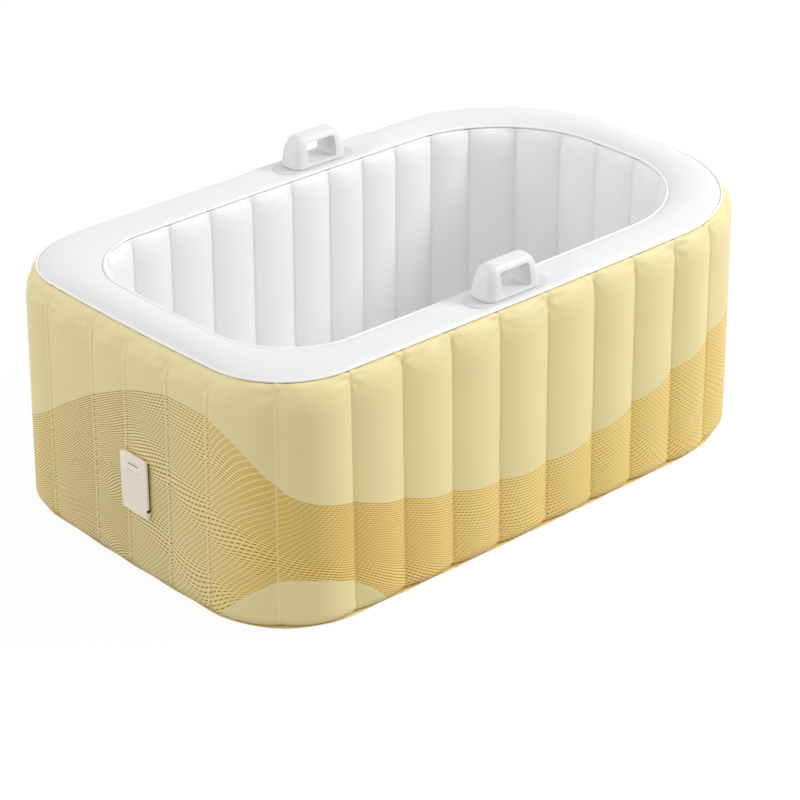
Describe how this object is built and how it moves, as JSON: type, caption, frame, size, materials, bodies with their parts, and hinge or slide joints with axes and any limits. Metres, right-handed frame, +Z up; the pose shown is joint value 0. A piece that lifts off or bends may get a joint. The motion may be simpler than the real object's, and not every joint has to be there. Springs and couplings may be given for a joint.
{
  "type": "inflatable bathtub",
  "caption": "Freestanding oblong inflatable bath with an air-filled ribbed wall, flat top deck, two carrying handles, built-in air pump behind a flap, and a capped drain.",
  "frame": {"origin": "on the floor under the middle of the tub's plan, at the underside of the base sheet", "axes": "+Z up; +X along the tub from the squarer end with the pump towards the rounder end with the drain; +Y across it, away from the long side that the picture shows"},
  "size_m": [1.7362, 1.0506, 0.6756],
  "materials": {
    "printed_pvc": "satin printed film",
    "white_pvc": "satin film",
    "bead_pvc": "smooth welded bead",
    "web_pvc": "matte film",
    "moulded_pvc": "satin moulded",
    "white_abs": "satin moulded",
    "grey_abs": "fine grain",
    "dark_abs": "fine grain",
    "steel": "drawn",
    "rubber_parts": "matte"
  },
  "bodies": {
    "tub": {"outer_wall": "printed_pvc", "inner_wall": "white_pvc", "top_deck": "white_pvc", "deck_outer_bead": "bead_pvc", "deck_inner_bead": "bead_pvc", "base_sheet": "web_pvc", "floor_cushion": "white_pvc", "web_01": "web_pvc", "web_02": "web_pvc", "web_03": "web_pvc", "web_04": "web_pvc", "web_05": "web_pvc", "web_06": "web_pvc", "web_07": "web_pvc", "web_08": "web_pvc", "web_09": "web_pvc", "web_10": "web_pvc", "web_11": "web_pvc", "web_12": "web_pvc", "web_13": "web_pvc", "web_14": "web_pvc", "web_15": "web_pvc", "web_16": "web_pvc", "web_17": "web_pvc", "web_18": "web_pvc", "web_19": "web_pvc", "web_20": "web_pvc", "web_21": "web_pvc", "web_22": "web_pvc", "web_23": "web_pvc", "web_24": "web_pvc", "web_25": "web_pvc", "web_26": "web_pvc", "web_27": "web_pvc", "web_28": "web_pvc", "web_29": "web_pvc", "web_30": "web_pvc", "web_31": "web_pvc", "web_32": "web_pvc", "handle_patch_near": "moulded_pvc", "handle_grip_near": "moulded_pvc", "handle_patch_far": "moulded_pvc", "handle_grip_far": "moulded_pvc", "pump_cup": "white_abs", "pump_weld_frame": "web_pvc", "pump_bezel": "white_abs", "pump_door_pin": "steel", "pump_face": "grey_abs", "intake_grille": "dark_abs", "power_socket": "dark_abs", "blower_drum": "grey_abs", "pump_motor": "steel", "drain_sleeve": "moulded_pvc", "drain_spout": "moulded_pvc"},
    "flap": {"pump_door": "white_abs"},
    "knob": {"pump_knob": "white_abs"},
    "fan": {"impeller": "white_abs"},
    "valve": {"check_valve": "rubber_parts"},
    "cap": {"drain_cap": "white_abs"},
    "plug": {"drain_plug": "rubber_parts"}
  },
  "joints": [
    {"name": "flap_hinge", "type": "hinge", "parent": "tub", "child": "flap", "pos_m": [-0.85889, -0.056, 0.1652], "axis": [0, -1, 0], "range_deg": [0, 110]},
    {"name": "knob_turn", "type": "hinge", "parent": "tub", "child": "knob", "pos_m": [-0.8215, -0.056, 0.265], "axis": [1, 0, 0], "range_deg": [-90, 90]},
    {"name": "fan_spin", "type": "hinge", "parent": "tub", "child": "fan", "pos_m": [-0.8003, -0.056, 0.217], "axis": [1, 0, 0], "continuous": true},
    {"name": "valve_lift", "type": "slide", "parent": "tub", "child": "valve", "axis": [1, 0, 0], "range_m": [0, 0.005], "stiffness_N_per_m": 40},
    {"name": "cap_unscrew", "type": "hinge", "parent": "tub", "child": "cap", "pos_m": [0.862, 0.09089, 0.098], "axis": [1, 0, 0], "range_deg": [0, 360]},
    {"name": "plug_pull", "type": "slide", "parent": "tub", "child": "plug", "axis": [-1, 0, 0], "range_m": [0, 0.04]}
  ]
}
